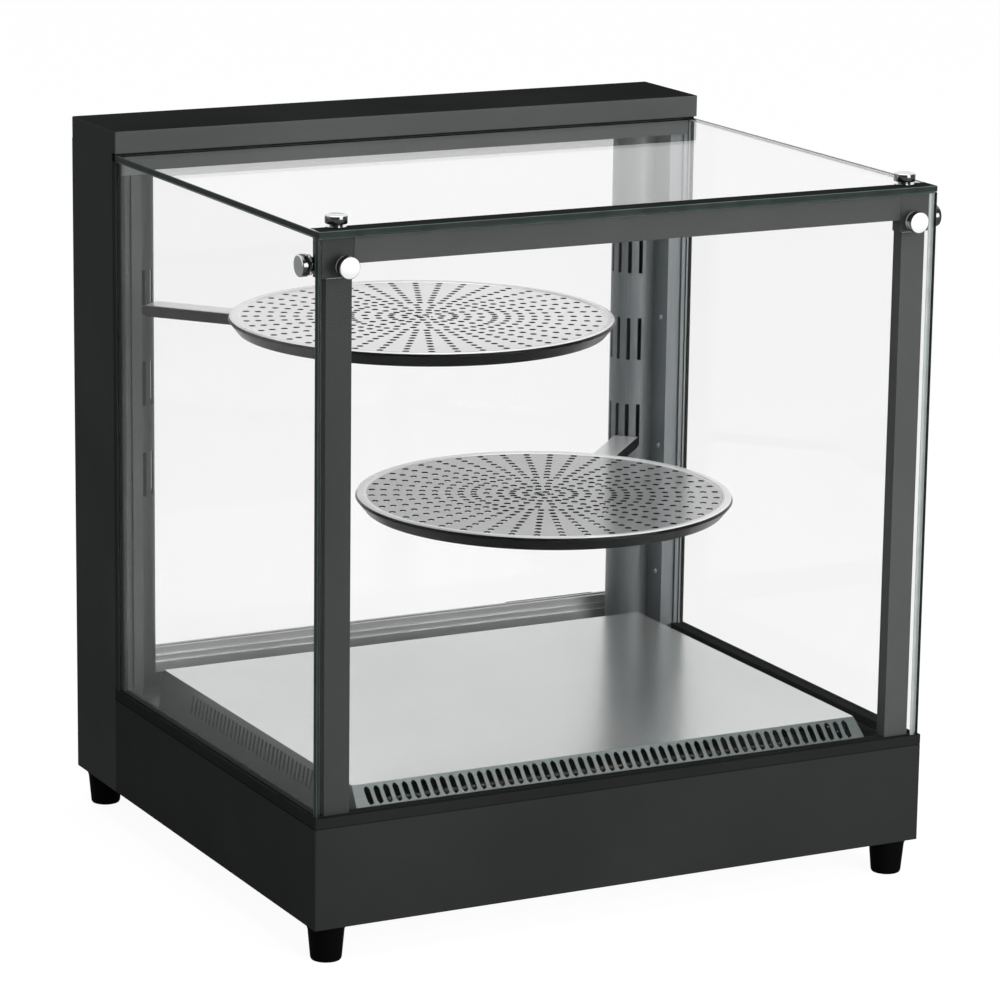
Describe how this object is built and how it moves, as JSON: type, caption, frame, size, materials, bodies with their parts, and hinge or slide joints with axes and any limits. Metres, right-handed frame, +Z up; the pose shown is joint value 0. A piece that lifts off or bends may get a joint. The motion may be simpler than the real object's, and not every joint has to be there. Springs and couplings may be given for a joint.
{
  "type": "heated display case",
  "caption": "Countertop heated display case: glass cube on a black heated base with a stainless deck, pierced round plates on hooked arms, slotted rear posts, black header and rear glass door.",
  "frame": {"origin": "on the surface the rubber feet stand on, at the middle of the bounding box in plan", "axes": "+X to the right and +Y to the back, seen by someone facing the front glass; +Z up"},
  "size_m": [0.709, 0.6382, 0.749],
  "materials": {
    "black_steel": "satin black powder coat",
    "black_trim": "satin black",
    "black_border": "satin black",
    "black_rubber": "matt",
    "rubber": "matt moulded",
    "zinc_screws": "zinc plated",
    "zinc_sheet": "galvanised",
    "stainless": "brushed",
    "aluminium": "anodised",
    "rail_aluminium": "dark satin anodised",
    "arm_steel": "satin",
    "plate_aluminium": "spun, satin",
    "white_acrylic": "opal",
    "white_board": "matt",
    "clear_glass": "clear toughened",
    "chrome": "polished",
    "element_steel": "oxidised",
    "black_plastic": "satin",
    "control_face": "brushed",
    "red_rocker": "translucent",
    "green_rocker": "translucent",
    "amber_lens": "translucent",
    "brass": "machined"
  },
  "bodies": {
    "case": {"base_housing": "black_steel", "base_trim": "black_trim", "border_post_left": "black_border", "border_post_right": "black_border", "border_rail": "black_border", "bottom_plate": "black_steel", "cable_gland": "black_plastic", "column_screws": "zinc_screws", "control_panel": "control_face", "corner_block_left": "black_trim", "corner_block_right": "black_trim", "deck_plate": "stainless", "door_catch": "black_plastic", "element_supports": "zinc_sheet", "fan_frame": "black_plastic", "foot_screws": "zinc_screws", "front_glass": "clear_glass", "glass_channel_left": "black_rubber", "glass_channel_right": "black_rubber", "glass_knobs": "chrome", "header_band": "black_steel", "header_cap": "black_steel", "heater_switch_frame": "black_plastic", "heating_element": "element_steel", "lamp_channel": "aluminium", "lamp_diffuser": "white_acrylic", "lamp_switch_frame": "black_plastic", "led_strip": "white_board", "panel_screws": "zinc_screws", "pilot_lamp": "amber_lens", "pivot_block": "brass", "plenum_tray": "zinc_sheet", "rear_sill": "black_steel", "roof_glass": "clear_glass", "roof_seal": "black_rubber", "rubber_feet": "rubber", "sensor_bulb": "element_steel", "side_glass_left": "clear_glass", "side_glass_right": "clear_glass", "side_panel_left": "black_steel", "side_panel_right": "black_steel", "slotted_post_left": "black_steel", "slotted_post_right": "black_steel", "terminal_block": "white_board", "thermostat_body": "white_board"},
    "rear_door": {"door_glass": "clear_glass", "door_top_rail": "rail_aluminium", "door_bottom_rail": "rail_aluminium", "door_pull": "rail_aluminium"},
    "upper_arm": {"arm_upper": "arm_steel"},
    "lower_arm": {"arm_lower": "arm_steel"},
    "upper_plate": {"plate_upper": "plate_aluminium"},
    "lower_plate": {"plate_lower": "plate_aluminium"},
    "dial": {"thermostat_dial": "black_plastic"},
    "heater_switch": {"heater_rocker": "red_rocker"},
    "lamp_switch": {"lamp_rocker": "green_rocker"},
    "fan": {"fan_rotor": "black_plastic"}
  },
  "joints": [
    {"name": "rear_door_hinge", "type": "hinge", "parent": "case", "child": "rear_door", "pos_m": [-0.309, 0.28845, 0.432], "axis": [0, 0, 1], "range_deg": [0, 110]},
    {"name": "upper_arm_lift", "type": "slide", "parent": "case", "child": "upper_arm", "axis": [0, 0, 1], "range_m": [0, 0.009]},
    {"name": "lower_arm_lift", "type": "slide", "parent": "case", "child": "lower_arm", "axis": [0, 0, 1], "range_m": [0, 0.009]},
    {"name": "upper_plate_lift", "type": "slide", "parent": "upper_arm", "child": "upper_plate", "axis": [0, 0, 1], "range_m": [0, 0.03]},
    {"name": "lower_plate_lift", "type": "slide", "parent": "lower_arm", "child": "lower_plate", "axis": [0, 0, 1], "range_m": [0, 0.03]},
    {"name": "thermostat_turn", "type": "hinge", "parent": "case", "child": "dial", "pos_m": [0.22, 0.30845, 0.089], "axis": [0, -1, 0], "range_deg": [0, 270]},
    {"name": "heater_rocker_tilt", "type": "hinge", "parent": "case", "child": "heater_switch", "pos_m": [0.16, 0.29945, 0.089], "axis": [1, 0, 0], "range_deg": [-16, 0]},
    {"name": "lamp_rocker_tilt", "type": "hinge", "parent": "case", "child": "lamp_switch", "pos_m": [0.112, 0.29945, 0.089], "axis": [1, 0, 0], "range_deg": [-16, 0]},
    {"name": "fan_spin", "type": "hinge", "parent": "case", "child": "fan", "pos_m": [0, 0.09245, 0.1], "axis": [0, 0, 1], "continuous": true}
  ]
}
